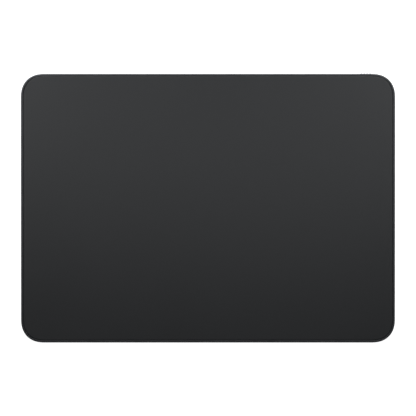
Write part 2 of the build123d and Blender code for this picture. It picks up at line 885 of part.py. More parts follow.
def port_contacts():
    """Two rows of contacts, above and below the tongue."""
    base_y = port_back_y + port_shell_wall + port_base_length
    middle = (port_contact_count - 1) / 2
    contacts = []
    strip = Box(port_contact_width, port_contact_length, port_contact_thickness)
    for side in (-1, 1):
        z = port_z + side * (port_tongue_thickness + port_contact_thickness) / 2
        for i in range(port_contact_count):
            x = (i - middle) * port_contact_pitch
            contacts.append(Pos(x, base_y + port_contact_length / 2, z) * strip)
    return group(contacts)


def port_board():
    """The small board under the socket's shell."""
    rear = rear_wall_inside - port_hole_gap
    low = (-port_board_width / 2, rear - port_board_depth, board_bottom)
    board = box_between(low, (port_board_width / 2, rear, board_top))
    return board - [place * clearance_hole() for place in port_screw_places(board_top)]


def port_bracket():
    """A strap over the shell with an ear on each side, screwed through the board."""
    y = port_bracket_y()
    front, rear = y - port_bracket_depth / 2, y + port_bracket_depth / 2
    inner = port_shell_width / 2 + port_bracket_fit
    outer = inner + port_bracket_thickness
    top = board_top + port_shell_height + port_bracket_fit
    strap = box_between((-outer, front, board_top), (outer, rear, top + port_bracket_thickness))
    room_low = (-inner, front - cut_overrun, board_top - cut_overrun)
    strap -= box_between(room_low, (inner, rear + cut_overrun, top))
    for side in (-1, 1):
        low = (side * inner, front, board_top)
        high = (side * (inner + port_bracket_ear_length), rear, board_top + port_bracket_thickness)
        strap += box_between(low, high)
    return strap - [place * clearance_hole() for place in port_screw_places(board_top)]


def port_screws():
    grip = board_thickness + port_bracket_thickness
    top = board_top + port_bracket_thickness
    return group(place * screw(grip) for place in port_screw_places(top))


def port_flex():
    """The short ribbon across the gap between the main board and the port board."""
    front = board_middle_y - ribbon_width / 2
    low = (logic_board_right_x - ribbon_width, front, board_top)
    right = -port_board_width / 2 + ribbon_width
    return box_between(low, (right, front + ribbon_width, board_top + ribbon_thickness))


# Power switch


def switch_knob():
    """A knob with upright grooves, and the slider behind the wall that it stands on."""
    knob_depth = body_depth / 2 + knob_stand - slider_front_y
    base = rear_plane(slider_front_y, switch_z)
    knob = base * Pos(-knob_x, 0, 0) * extrude(SlotOverall(knob_length, knob_height), amount=knob_depth)
    middle = (knob_groove_count - 1) / 2
    face_y = body_depth / 2 + knob_stand
    for i in range(knob_groove_count):
        x = knob_x + (i - middle) * knob_groove_pitch
        groove = Box(knob_groove_width, 2 * knob_groove_depth, knob_height + cut_overrun)
        knob -= Pos(x, face_y, switch_z) * groove
    low = (slider_left_x, slider_back_y, switch_z - slider_height / 2)
    high = (slider_left_x + slider_length, slider_front_y, switch_z + slider_height / 2)
    return knob + box_between(low, high)


def switch_indicator():
    """The green insert on the slider's face, seen in the slot when the switch is on."""
    right = knob_x - knob_length / 2 - slider_fit
    half = (switch_slot_height + slider_fit) / 2
    low = (right - indicator_length, slider_front_y, switch_z - half)
    return box_between(low, (right, slider_front_y + indicator_thickness, switch_z + half))


def switch_wiper():
    """The sprung contact between the slider and the switch board."""
    low = (knob_x - wiper_length / 2, housing_back_y + wiper_gap, switch_z - wiper_height / 2)
    return box_between(low, (knob_x + wiper_length / 2, slider_back_y, switch_z + wiper_height / 2))


def switch_housing():
    """A channel that guides the slider, with a window for the wiper and two screwed ears."""
    low = (housing_left_x, housing_back_y, housing_bottom)
    housing = box_between(low, (housing_right_x, housing_front_y, housing_bottom + housing_height))
    half_channel = slider_height / 2 + slider_fit
    channel_low = (housing_left_x - cut_overrun, housing_inner_y, switch_z - half_channel)
    channel_high = (housing_right_x + cut_overrun, housing_front_y + cut_overrun, switch_z + half_channel)
    housing -= box_between(channel_low, channel_high)
    side_room = wiper_length / 2 + switch_window_margin
    half_window = switch_window_height / 2
    window_low = (knob_x - switch_travel - side_room, housing_back_y - cut_overrun, switch_z - half_window)
    window_high = (knob_x + side_room, housing_inner_y + cut_overrun, switch_z + half_window)
    housing -= box_between(window_low, window_high)
    for side in (-1, 1):
        x = housing_x + side * switch_screw_spacing / 2
        ear_low = (x - switch_ear_length / 2, housing_back_y - switch_ear_depth, housing_bottom)
        housing += box_between(ear_low, (x + switch_ear_length / 2, housing_inner_y, switch_ear_top))
    return housing - [place * clearance_hole() for place in switch_screw_places(housing_bottom)]


def switch_board():
    """The upright board with the contacts, behind the housing's window."""
    half = switch_board_length / 2
    low = (housing_x - half, housing_back_y - board_thickness, switch_ear_top)
    return box_between(low, (housing_x + half, housing_back_y, switch_ear_top + switch_board_height))


def switch_screws():
    return group(place * screw(switch_ear_thickness) for place in switch_screw_places(switch_ear_top))


def switch_flex():
    """A ribbon on the floor from the switch board to the underside of the port board."""
    lane_y = board_front_y + ribbon_width / 2
    top = floor_top + ribbon_thickness
    right = housing_x + ribbon_width / 2
    rise_y = housing_back_y - board_thickness
    left = port_board_width / 2 - ribbon_width
    ribbon = box_between((left, lane_y, floor_top), (right, lane_y + ribbon_width, top))
    ribbon += box_between((right - ribbon_width, lane_y, floor_top), (right, rise_y, top))
    rise_low = (right - ribbon_width, rise_y - ribbon_thickness, floor_top)
    ribbon += box_between(rise_low, (right, rise_y, switch_z))
    tail_high = (left + ribbon_thickness, lane_y + ribbon_width, board_bottom)
    return ribbon + box_between((left, lane_y, floor_top), tail_high)


# All nodes


nodes = {
    "enclosure": enclosure(),
    "bottom_cover": cover_sheet(foot_stand, cover_thickness, cover_gap),
    "cover_adhesive": cover_sheet(foot_stand + cover_thickness, cover_glue_thickness, 2 * cover_gap),
    "cover_glass": cover_glass(),
    "glass_adhesive": sensor_sheet(glass_thickness, glass_glue_thickness),
    "sensor_board": sensor_sheet(glass_thickness + glass_glue_thickness, sensor_board_thickness),
    "touch_chips": touch_chips(),
    "sensor_connector": sensor_connector(),
    "gel_pads": group(gel_pad(side, row_y) for side, row_y in flexure_corners.values()),
    "armature_plate": armature(),
    "flexure_screws": flexure_screws(),
    "strain_gauges": strain_gauges(),
    "travel_stops": travel_stops(),
    "actuator_core": actuator_core(),
    "actuator_coils": actuator_coils(),
    "actuator_bracket": actuator_bracket(),
    "actuator_screws": actuator_screws(),
    "actuator_flex": actuator_flex(),
    "battery_cell": battery_cell(),
    "battery_adhesive": battery_adhesive(),
    "battery_board": battery_board(),
    "battery_flex": battery_flex(),
    "logic_board": logic_board(),
    "radio_shield": radio_shield(),
    "board_antenna": board_antenna(),
    "processor_chip": on_board(processor_side, processor_side, processor_height, row_place("processor")),
    "charger_chip": on_board(charger_side, charger_side, charger_height, row_place("charger")),
    "board_connectors": board_connectors(),
    "board_screws": board_screws(),
    "sensor_flex": sensor_flex(),
    "port_shell": port_shell(),
    "port_tongue": port_tongue(),
    "port_contacts": port_contacts(),
    "port_board": port_board(),
    "port_bracket": port_bracket(),
    "port_screws": port_screws(),
    "port_flex": port_flex(),
    "switch_knob": switch_knob(),
    "switch_indicator": switch_indicator(),
    "switch_wiper": switch_wiper(),
    "switch_housing": switch_housing(),
    "switch_board": switch_board(),
    "switch_screws": switch_screws(),
    "switch_flex": switch_flex(),
}
for corner, (side_x, side_y) in foot_corners.items():
    nodes[f"foot_{corner}"] = foot(side_x, side_y)
for corner, (side, row_y) in flexure_corners.items():
    nodes[f"flexure_{corner}"] = flexure(side, row_y)
    nodes[f"gel_carrier_{corner}"] = gel_carrier(side, row_y)

os.makedirs("parts", exist_ok=True)
for name, shape in nodes.items():
    export_step(shape, f"parts/{name}.step")
print(len(nodes), "nodes written")
print("press axis", [round(value, 6) for value in touch_plane.z_dir])
print("haptic axis", [round(value, 6) for value in touch_plane.y_dir])
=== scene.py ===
# %% [markdown]
# # A wedge trackpad in Blender
# The object is a thin desktop trackpad: a dark anodised metal tray with a dark sheet of touch glass in it.
# The tray, the glass, the springs, the magnet, the cell and the boards come from a CAD model, which stays
# as it is. This file gives them their finishes, and makes the pieces that a CAD solid is too plain or too
# stiff for: the ribbed feet, the wound coils, the small parts on the circuit boards, and the springs, the
# ribbon and the gel pads, which bend or shear when the plate moves.
# Loading comes first, because every place below is measured from the loaded pieces.

# %% Load the fixed frame
import json
import math

import bmesh
import bpy
from mathutils import Matrix, Vector


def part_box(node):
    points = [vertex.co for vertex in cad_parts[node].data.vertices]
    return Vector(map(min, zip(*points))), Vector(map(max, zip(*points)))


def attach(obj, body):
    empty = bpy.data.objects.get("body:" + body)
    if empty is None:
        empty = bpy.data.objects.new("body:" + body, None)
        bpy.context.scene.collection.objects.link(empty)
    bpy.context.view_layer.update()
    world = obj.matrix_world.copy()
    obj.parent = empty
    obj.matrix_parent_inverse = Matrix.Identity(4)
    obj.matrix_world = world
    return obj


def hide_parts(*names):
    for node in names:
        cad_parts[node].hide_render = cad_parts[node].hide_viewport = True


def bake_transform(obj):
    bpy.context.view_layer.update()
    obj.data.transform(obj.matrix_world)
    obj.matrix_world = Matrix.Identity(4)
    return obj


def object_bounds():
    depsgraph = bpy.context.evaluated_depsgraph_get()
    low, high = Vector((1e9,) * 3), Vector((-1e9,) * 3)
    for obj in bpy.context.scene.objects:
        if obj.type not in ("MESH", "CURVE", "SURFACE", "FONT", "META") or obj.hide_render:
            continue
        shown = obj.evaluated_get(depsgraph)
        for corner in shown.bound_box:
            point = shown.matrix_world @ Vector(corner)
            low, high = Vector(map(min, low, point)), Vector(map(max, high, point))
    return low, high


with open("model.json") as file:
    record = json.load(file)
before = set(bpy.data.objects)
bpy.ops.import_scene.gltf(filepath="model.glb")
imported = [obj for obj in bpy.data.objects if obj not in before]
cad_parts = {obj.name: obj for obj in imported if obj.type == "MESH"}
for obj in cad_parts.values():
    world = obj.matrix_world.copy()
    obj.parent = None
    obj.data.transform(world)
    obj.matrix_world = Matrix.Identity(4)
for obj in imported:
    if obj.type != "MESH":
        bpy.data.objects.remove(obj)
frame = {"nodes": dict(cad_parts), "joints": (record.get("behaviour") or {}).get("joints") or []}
cad_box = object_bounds()
MM = 0.001


def in_mm(box):
    """The two corners of a box in rounded millimetres, for printing."""
    return [[round(v / MM, 2) for v in corner] for corner in box]


print("nodes:", len(frame["nodes"]), "box in mm:", in_mm(cad_box))

# %% [markdown]
# ## A short way to write materials
# Every finish here is made of shader nodes. Written out, each node takes several lines, and a formula
# turns into a tangle. Small classes help. The first is `Sock`, a socket that can be used in Python
# arithmetic: each operator adds the Math node it stands for.


# %% Sockets that do arithmetic
class Sock:
    """An output socket. Its arithmetic adds Math nodes, and 1 - mask works too."""

    def __init__(self, nodes, socket):
        self.nodes = nodes
        self.socket = socket

    def maths(self, operation, *values):
        """Adds a Math node that works on the values in their order."""
        inputs = dict(enumerate(values))
        return self.nodes.node("ShaderNodeMath", {"operation": operation}, inputs)

    def __add__(self, other):
        return self.maths("ADD", self, other)

    __radd__ = __add__

    def __mul__(self, other):
        return self.maths("MULTIPLY", self, other)

    __rmul__ = __mul__

    def __sub__(self, other):
        return self.maths("SUBTRACT", self, other)

    def __rsub__(self, other):
        return self.maths("SUBTRACT", other, self)

    def __abs__(self):
        return self.maths("ABSOLUTE", self)

    def __gt__(self, other):
        return self.maths("GREATER_THAN", self, other)

    def __lt__(self, other):
        return self.maths("LESS_THAN", self, other)


print("sockets:", Sock.__doc__)

# %% [markdown]
# A material, the world and a Geometry Nodes rule are all trees of nodes, so one method that adds a node
# serves all three. It sets the node's settings first, because they decide which sockets are in use.


# %% Any node tree as a row of calls
class Nodes:
    """A tree of nodes that are added one call at a time."""

    def __init__(self, tree):
        self.tree = tree
        self.tree.nodes.clear()

    def node(self, kind, settings=None, inputs=None, out=0):
        """Adds a node: first its settings, then the values or links of its sockets."""
        node = self.tree.nodes.new(kind)
        for key, value in (settings or {}).items():
            setattr(node, key, value)
        for key, value in (inputs or {}).items():
            socket = pick(node.inputs, key)
            if isinstance(value, Sock):
                self.tree.links.new(value.socket, socket)
            else:
                socket.default_value = value
        return Sock(self, pick(node.outputs, out))


def pick(sockets, key):
    """A socket by its place or by its name, among those that are in use."""
    if key is None:
        return None
    if isinstance(key, int):
        return sockets[key]
    return next(socket for socket in sockets if socket.name == key and socket.enabled)


def colour4(value):
    """A colour with its alpha, or a link as it is."""
    return value if isinstance(value, Sock) else (*value, 1)


print("trees:", Nodes.__doc__)

# %% [markdown]
# A finish is such a tree, with the patterns that most surfaces share: noise, uneven cells, a blend of two
# colours and a bump. Patterns read Object coordinates, which are metres in the shared frame, so a size in a
# pattern is a real size.


# %% Materials made that way
class Finish(Nodes):
    """A material with the few patterns that its finishes share."""

    def __init__(self, name):
        self.material = bpy.data.materials.new(name)
        self.material.use_nodes = True
        super().__init__(self.material.node_tree)
        self.place = self.node("ShaderNodeTexCoord", out="Object")

    def axes(self):
        """The three Object coordinates, in metres."""
        split = self.node("ShaderNodeSeparateXYZ", inputs={"Vector": self.place})
        return [Sock(self, socket) for socket in split.socket.node.outputs]

    def noise(self, size, detail=2.0, stretch=(1, 1, 1)):
        """Noise whose blobs are about `size` metres, longer where stretch is under 1."""
        where = self.node("ShaderNodeMapping", inputs={"Vector": self.place, "Scale": stretch})
        return self.node("ShaderNodeTexNoise", inputs={"Vector": where, "Scale": 1 / size, "Detail": detail})

    def cells(self, feature, size, randomness):
        """Distances in a pattern of uneven cells that are about `size` metres wide."""
        inputs = {"Vector": self.place, "Scale": 1 / size, "Randomness": randomness}
        return self.node("ShaderNodeTexVoronoi", {"feature": feature}, inputs, "Distance")

    def blend(self, mask, low, high):
        """A colour between low and high."""
        inputs = {"Factor": mask, "A": colour4(low), "B": colour4(high)}
        return self.node("ShaderNodeMix", {"data_type": "RGBA"}, inputs, "Result")

    def bump(self, height, depth, strength):
        """A bumpy normal; depth is in metres."""
        return self.node("ShaderNodeBump", inputs={"Height": height, "Distance": depth, "Strength": strength})

    def close(self, inputs):
        """Ends the material with one Principled shader."""
        shader = self.node("ShaderNodeBsdfPrincipled", inputs=inputs)
        self.node("ShaderNodeOutputMaterial", inputs={"Surface": shader}, out=None)
        return self.material


def around(value, mask, spread):
    """A value that a mask moves as far up as down."""
    return value - spread / 2 + mask * spread


print("finishes:", Finish.__doc__)

# %% [markdown]
# ## Camera
# The photograph looks straight down, and both ends of the object are equally wide in it. A lens with a
# wide view would make the thicker end look larger, so the camera is far away with a very long lens.
# An orthographic camera would do for this one view, but a long lens also gives good views from the sides.
# The distance follows from the size of one pixel of the photograph, measured from the object's width.

# %% Camera straight above
scene = bpy.context.scene
IMAGE_PIXELS = 416
WIDTH_IN_PIXELS = 373.97
PIXEL = 160.0 * MM / WIDTH_IN_PIXELS
REARWARD = 0.3 * PIXEL
OUTLINE_HEIGHT = 6 * MM
LENS = 1200.0


def add_to_scene(name, data):
    """A new object for some data, which may be a mesh, a lamp or a camera."""
    added = bpy.data.objects.new(name, data)
    scene.collection.objects.link(added)
    return added


camera_data = bpy.data.cameras.new("camera_above")
camera_data.lens = LENS
camera = add_to_scene("camera_above", camera_data)
camera_distance = IMAGE_PIXELS * PIXEL * LENS / camera_data.sensor_width
camera.location = (0, REARWARD, camera_distance + OUTLINE_HEIGHT)
scene.camera = camera
print("camera height in m:", round(camera.location.z, 3))

# %% [markdown]
# ## Studio walls
# The world stands for the walls of the studio. It is dark above, because flat glass mirrors what is above
# it and the photograph shows it dark, and bright round the horizon, so that the rounded edges have something
# to mirror. An even grey world would be simpler, but it would lift the glass and the edges alike.

# %% World
SKY_ABOVE = 0.02
SKY_AT_WALLS = 0.75
scene.view_settings.view_transform = "Standard"
world = bpy.data.worlds.new("studio")
scene.world = world
world.use_nodes = True
sky = Nodes(world.node_tree)
direction = sky.node("ShaderNodeTexCoord", out="Generated")
parts = sky.node("ShaderNodeSeparateXYZ", inputs={"Vector": direction}).socket.node.outputs
steepness = abs(Sock(sky, parts[2]))
walls = sky.node("ShaderNodeMath", {"operation": "POWER"}, {0: 1 - steepness, 1: 3.0})
strength = SKY_ABOVE + walls * SKY_AT_WALLS
light = sky.node("ShaderNodeBackground", inputs={"Color": (0.9, 0.96, 1.0, 1), "Strength": strength})
sky.node("ShaderNodeOutputWorld", inputs={"Surface": light}, out=None)
print("world:", world.name)

# %% [markdown]
# ## Softboxes
# The photograph has a pure white ground with no shadow on it, and light from behind the object: the glass
# is lighter towards the rear edge and its rear corners. A distant light would make flat glass equally
# bright all over, so the gradient needs lights that are close: a strip above the middle, and two softboxes
# above each side. A large low softbox at the rear and a panel on either side light the rounded edges, which
# would be black lines without them. Each light was rendered alone, and the powers are those for which the
# pictures add up to the photograph's tones. Places and sizes are in metres, powers in watts.

# %% Softboxes close above and around
LAMP_HEIGHT = 0.25
LAMP_SIZE = (0.08, 0.05)
LAMP_SIDEWAYS = 0.14
ORIGIN = (0, 0, 0)


def softbox(name, place, aim, size, power):
    """A rectangular area light that points at a spot and doesn't show itself."""
    data = bpy.data.lights.new(name, "AREA")
    data.shape = "RECTANGLE"
    data.size, data.size_y = size
    data.energy = power
    data.color = (0.96, 0.98, 1.0)
    lamp = add_to_scene(name, data)
    lamp.location = place
    lamp.rotation_euler = (Vector(aim) - Vector(place)).to_track_quat("-Z", "Y").to_euler()
    lamp.visible_camera = False


softbox("strip_middle", (0, 0, LAMP_HEIGHT), ORIGIN, (0.2, 0.05), 0.056)
for side, label in ((-1, "left"), (1, "right")):
    x = side * LAMP_SIDEWAYS
    softbox("softbox_near_" + label, (x, 0.05, LAMP_HEIGHT), (x, 0.05, 0), LAMP_SIZE, 0.054)
    softbox("softbox_rear_" + label, (x, 0.15, LAMP_HEIGHT), (x, 0.15, 0), LAMP_SIZE, 0.25)
    softbox("panel_" + label, (side * 0.4, 0.05, LAMP_HEIGHT), ORIGIN, (0.3, 0.25), 0.2)
softbox("softbox_low_rear", (0, 0.45, 0.28), ORIGIN, (0.5, 0.2), 1.65)

# %% [markdown]
# ## Floor
# The floor is one large face. It reaches further to the front than to the rear, because the line between
# its two triangles would show in the light under the body otherwise.

# %% Table top
FLOOR_REACH = 3.0
FLOOR_FRONT = 4.0
corners = [(-FLOOR_REACH, -FLOOR_FRONT, 0), (FLOOR_REACH, -FLOOR_FRONT, 0)]
corners += [(FLOOR_REACH, FLOOR_REACH, 0), (-FLOOR_REACH, FLOOR_REACH, 0)]
floor_mesh = bpy.data.meshes.new("floor")
floor_mesh.from_pydata(corners, [], [(0, 1, 2, 3)])
floor = add_to_scene("floor", floor_mesh)
print("floor in m:", 2 * FLOOR_REACH, "by", FLOOR_REACH + FLOOR_FRONT)

# %% [markdown]
# The table is lit: it gives off light itself, which keeps it white, and takes little from the lamps, so no
# shadow falls beside the object. Right under the body a shadow is painted: the glow is turned down in a
# patch a little smaller than the body, where a real object would hide the table from the lamps. From above
# the body covers that painted shadow; from the side it is the thin line of painted shade that makes the
# object stand on the floor. The painted shadow is dark for the camera alone, so the underside gets some
# light. Seen from below the table is clear, like a sheet of glass, so that the underside can be looked at
# without lifting the object.

# %% Light that the table gives off, with a painted shadow under the body
# The painted shadow under the body is fully dark this far in from the body's edge, and gone this near it.
DARK_WITHIN = 7 * MM
LIGHT_BEYOND = 1.5 * MM
finish = Finish("white_floor")
body_reach = cad_box[1]
painted_shadow_mask = 1.0
for axis, reach in zip(finish.axes(), (body_reach.x, body_reach.y)):
    ranges = {
        "Value": abs(axis),
        "From Min": reach - DARK_WITHIN,
        "From Max": reach - LIGHT_BEYOND,
        "To Min": 1.0,
        "To Max": 0.0,
    }
    painted_shadow_mask = finish.node("ShaderNodeMapRange", inputs=ranges, out="Result") * painted_shadow_mask
# Where the mask is 1 the table's glow is turned down to 0.12 for camera rays: a painted shadow.
seen = finish.node("ShaderNodeLightPath", out="Is Camera Ray")
inputs = {
    "Base Color": finish.blend(finish.noise(0.4), (0.4, 0.405, 0.41), (0.42, 0.42, 0.42)),
    "Roughness": 0.85,
    "Emission Color": finish.blend(painted_shadow_mask * seen, (1, 1, 1), (0.12, 0.12, 0.12)),
    "Emission Strength": 0.98,
}
table_top = finish.node("ShaderNodeBsdfPrincipled", inputs=inputs)
clear = finish.node("ShaderNodeBsdfTransparent")
from_below = finish.node("ShaderNodeNewGeometry", out="Backfacing")
both_sides = finish.node("ShaderNodeMixShader", inputs={0: from_below, 1: table_top, 2: clear})
finish.node("ShaderNodeOutputMaterial", inputs={"Surface": both_sides}, out=None)
floor_mesh.materials.append(finish.material)
print("table:", finish.material.name)

# %% [markdown]
# ## Dark anodised metal
# The tray is machined aluminium, blasted with fine beads and dyed dark in the anodising bath. The beads
# leave a grain of about a tenth of a millimetre, which spreads highlights along the thin rim, and the dye
# is never quite even. One could paint this on a flat grey, but a metallic shader with a fine bump reacts
# to light as the real tray does.

# %% Finish of the tray
finish = Finish("anodised_metal")
grain = finish.noise(0.11 * MM, 3.0)
clouds = finish.noise(14 * MM)
tone = finish.blend(clouds * 0.6 + grain * 0.4, (0.046, 0.047, 0.05), (0.068, 0.069, 0.073))
inputs = {
    "Base Color": tone,
    "Metallic": 0.85,
    "Roughness": 0.36 + grain * 0.12,
    "Normal": finish.bump(grain, 0.022 * MM, 0.7),
}
anodised_metal = finish.close(inputs)
print("tray:", anodised_metal.name)

# %% [markdown]
# ## Touch glass
# The top is glass with a finely etched upper face and dark paint behind it. The etching lets a finger
# slide, and turns reflections into soft glows. A transparent slab with paint below would be truer to the
# making, but no light comes back from below the paint, so a dark, satin surface looks the same.

# %% Finish of the glass
finish = Finish("etched_glass")
etching = finish.noise(0.05 * MM)
hand_marks = finish.noise(22 * MM, 3.0)
tone = finish.blend(hand_marks, (0.0105, 0.0108, 0.0115), (0.0125, 0.0128, 0.0135))
inputs = {
    "Base Color": tone,
    "Roughness": 0.4 + hand_marks * 0.03 + etching * 0.03,
    "Normal": finish.bump(etching, 0.004 * MM, 0.5),
}
etched_glass = finish.close(inputs)
print("glass:", etched_glass.name)

# %% [markdown]
# ## Sheet, rubber and moulded plastic
# The underside is a bonded sheet with a powdery matt paint. The feet are black rubber, which has a dull
# skin with tiny pores. The switch knob is moulded, with a fine spark-eroded texture. Each is a bump of the
# right grain under a dark colour: what tells them apart is how coarse the grain is and how they shine. The
# nylon, the gel and the bonding films inside are made in the same way. A second, much larger noise keeps a
# wide surface from looking as even as paint on a screen.

# %% Finishes of the sheet, the feet and the knob
PATCH_IN_GRAINS = 60


def moulded(name, low, high, roughness, grain_size, grain_depth):
    """A matt or satin skin with an even grain."""
    finish = Finish(name)
    grain = finish.noise(grain_size, 3.0)
    patches = finish.noise(PATCH_IN_GRAINS * grain_size)
    inputs = {
        "Base Color": finish.blend(grain * 0.5 + patches * 0.5, low, high),
        "Roughness": around(roughness, grain, 0.1),
        "Normal": finish.bump(grain, grain_depth, 0.7),
    }
    return finish.close(inputs)


powder_paint = moulded("powder_paint", (0.026, 0.026, 0.028), (0.04, 0.04, 0.043), 0.55, 0.18 * MM, 0.02 * MM)
black_rubber = moulded(
    "black_rubber", (0.012, 0.012, 0.012), (0.024, 0.024, 0.023), 0.8, 0.12 * MM, 0.02 * MM
)
knob_skin = moulded("knob_skin", (0.032, 0.033, 0.036), (0.045, 0.046, 0.05), 0.42, 0.08 * MM, 0.006 * MM)
green_skin = moulded("green_skin", (0.02, 0.3, 0.06), (0.03, 0.42, 0.09), 0.4, 0.1 * MM, 0.004 * MM)
black_nylon = moulded("black_nylon", (0.014, 0.014, 0.015), (0.03, 0.03, 0.031), 0.5, 0.14 * MM, 0.01 * MM)
ivory_nylon = moulded("ivory_nylon", (0.62, 0.58, 0.48), (0.74, 0.7, 0.6), 0.45, 0.14 * MM, 0.008 * MM)
soft_gel = moulded("soft_gel", (0.5, 0.53, 0.56), (0.62, 0.65, 0.67), 0.3, 0.6 * MM, 0.01 * MM)
bond_film = moulded("bond_film", (0.5, 0.5, 0.47), (0.64, 0.63, 0.6), 0.6, 0.3 * MM, 0.01 * MM)
print("moulded skins:", powder_paint.name, black_rubber.name, knob_skin.name, soft_gel.name)

# %% [markdown]
# ## Metals inside
# Springs and brackets are rolled steel, whose rolling marks run along the sheet. The shield over the radio
# is tinned and softer in shine, and the socket's shell is drawn steel, which is darker. The contacts are
# gold, the wire is copper under clear enamel, and screws are dark zinc. All are metallic shaders, and the
# marks on rolled and drawn steel are noise that is stretched along one axis.


# %% Finishes of the metals
def metal(name, low, high, roughness, grain_size, grain_depth, stretch=(1, 1, 1)):
    """Bare or plated metal, whose marks run along the axis where stretch is under 1."""
    finish = Finish(name)
    marks = finish.noise(grain_size, 3.0, stretch)
    inputs = {
        "Base Color": finish.blend(marks, low, high),
        "Metallic": 1.0,
        "Roughness": around(roughness, marks, 0.12),
        "Normal": finish.bump(marks, grain_depth, 0.6),
    }
    return finish.close(inputs)


rolled_steel = metal(
    "rolled_steel", (0.42, 0.42, 0.43), (0.6, 0.6, 0.61), 0.32, 0.2 * MM, 0.008 * MM, (0.06, 1, 1)
)
tinned_sheet = metal("tinned_sheet", (0.55, 0.56, 0.57), (0.72, 0.72, 0.73), 0.3, 0.5 * MM, 0.008 * MM)
dark_zinc = metal("dark_zinc", (0.16, 0.16, 0.17), (0.28, 0.28, 0.29), 0.35, 0.15 * MM, 0.006 * MM)
gold_plate = metal("gold_plate", (0.72, 0.5, 0.17), (0.86, 0.62, 0.25), 0.25, 0.1 * MM, 0.003 * MM)
enamel_copper = metal("enamel_copper", (0.5, 0.16, 0.05), (0.72, 0.28, 0.1), 0.28, 0.08 * MM, 0.006 * MM)
drawn_steel = metal(
    "drawn_steel", (0.2, 0.2, 0.205), (0.3, 0.3, 0.305), 0.34, 0.12 * MM, 0.006 * MM, (1, 0.1, 1)
)
metals = (rolled_steel, tinned_sheet, dark_zinc, gold_plate, enamel_copper, drawn_steel)
print("metals:", [material.name for material in metals])

# %% [markdown]
# ## Circuit boards and ribbons
# A circuit board is a green-black lacquer over copper lines that show as slightly raised, lighter paths,
# with small gold rings where a line changes layers. The lines and the rings can come from two Voronoi
# patterns: the borders of its cells make a web of paths, and the middles of the cells make dots. The
# sensor board carries a net of diamonds instead, which is how it feels where a finger is.

# %% Finishes of the boards
PATH_HALF_WIDTH = 0.06
RING_OUTER, RING_INNER = 0.11, 0.045
finish = Finish("board_lacquer")
web = finish.cells("DISTANCE_TO_EDGE", 1.3 * MM, 0.45)
dots = finish.cells("F1", 1.9 * MM, 0.8)
paths = web < PATH_HALF_WIDTH
rings = (dots < RING_OUTER) * (dots > RING_INNER)
tone = finish.blend(paths, (0.004, 0.016, 0.011), (0.012, 0.042, 0.028))
inputs = {
    "Base Color": finish.blend(rings, tone, (0.75, 0.52, 0.2)),
    "Metallic": rings * 0.9,
    "Roughness": 0.34 - rings * 0.08,
    "Normal": finish.bump(paths + rings, 0.012 * MM, 0.6),
}
board_lacquer = finish.close(inputs)

finish = Finish("diamond_net")
diagonal = (0, 0, math.radians(45))
turned = finish.node("ShaderNodeMapping", inputs={"Vector": finish.place, "Rotation": diagonal})
diamonds = finish.node("ShaderNodeTexChecker", inputs={"Vector": turned, "Scale": 1 / (3.5 * MM)}, out="Fac")
speckle = finish.noise(0.3 * MM)
tone = finish.blend(diamonds * 0.8 + speckle * 0.2, (0.006, 0.02, 0.014), (0.014, 0.05, 0.034))
inputs = {
    "Base Color": tone,
    "Roughness": 0.3 + speckle * 0.1,
    "Normal": finish.bump(diamonds, 0.015 * MM, 0.5),
}
diamond_net = finish.close(inputs)
print("boards:", board_lacquer.name, diamond_net.name)

# %% [markdown]
# A ribbon cable is amber film over flat copper lines. The lines run along the ribbon, so a ribbon that
# runs from front to back has stripes across X, and one that runs sideways has stripes across Y. A sine
# wave along that axis gives them: it is a line where the wave is high, and a gap where it is low. The same
# wave makes the stacked sheets of the magnet's core and the comb of contacts in a connector.

# %% Finishes of the ribbons
LINE_ABOVE = 0.1


def striped(name, axis, pitch, low, high, roughness, metallic=0.0, depth=0.01 * MM):
    """Fine parallel lines, counted along one axis of the shared frame."""
    finish = Finish(name)
    along = dict(zip("XYZ", finish.axes()))[axis]
    wave = finish.node("ShaderNodeMath", {"operation": "SINE"}, {0: along * (2 * math.pi / pitch)})
    lines = wave > LINE_ABOVE
    mottle = finish.noise(3 * pitch)
    inputs = {
        "Base Color": finish.blend(lines * 0.8 + mottle * 0.2, low, high),
        "Metallic": metallic,
        "Roughness": around(roughness, mottle, 0.1),
        "Normal": finish.bump(wave, depth, 0.5),
    }
    return finish.close(inputs)


amber_low, amber_high = (0.2, 0.07, 0.012), (0.42, 0.17, 0.035)
ribbon_lengthwise = striped("ribbon_lengthwise", "X", 0.32 * MM, amber_low, amber_high, 0.32)
ribbon_sideways = striped("ribbon_sideways", "Y", 0.32 * MM, amber_low, amber_high, 0.32)
gauge_film = striped("gauge_film", "Y", 0.25 * MM, (0.45, 0.3, 0.1), (0.62, 0.5, 0.3), 0.35)
core_sheets = striped(
    "core_sheets", "Z", 0.35 * MM, (0.22, 0.22, 0.23), (0.42, 0.42, 0.43), 0.4, 1.0, 0.03 * MM
)
contact_comb = striped("contact_comb", "X", 0.5 * MM, (0.02, 0.02, 0.021), (0.6, 0.44, 0.2), 0.4)
print("striped finishes:", ribbon_lengthwise.name, gauge_film.name, core_sheets.name, contact_comb.name)

# %% [markdown]
# ## Chips and the cell
# A chip is black epoxy, dull and slightly speckled by its glass filler. The cell is a pouch of aluminium
# foil: bright, a little creased, and wrapped with amber tape near both ends. The tape is a mask on the
# X coordinate, so it lies where tape is really wound.

# %% Finishes of the chips and the cell
chip_epoxy = moulded("chip_epoxy", (0.012, 0.012, 0.013), (0.03, 0.03, 0.032), 0.5, 0.05 * MM, 0.003 * MM)
ceramic_body = moulded("ceramic_body", (0.2, 0.13, 0.08), (0.3, 0.2, 0.13), 0.5, 0.05 * MM, 0.002 * MM)

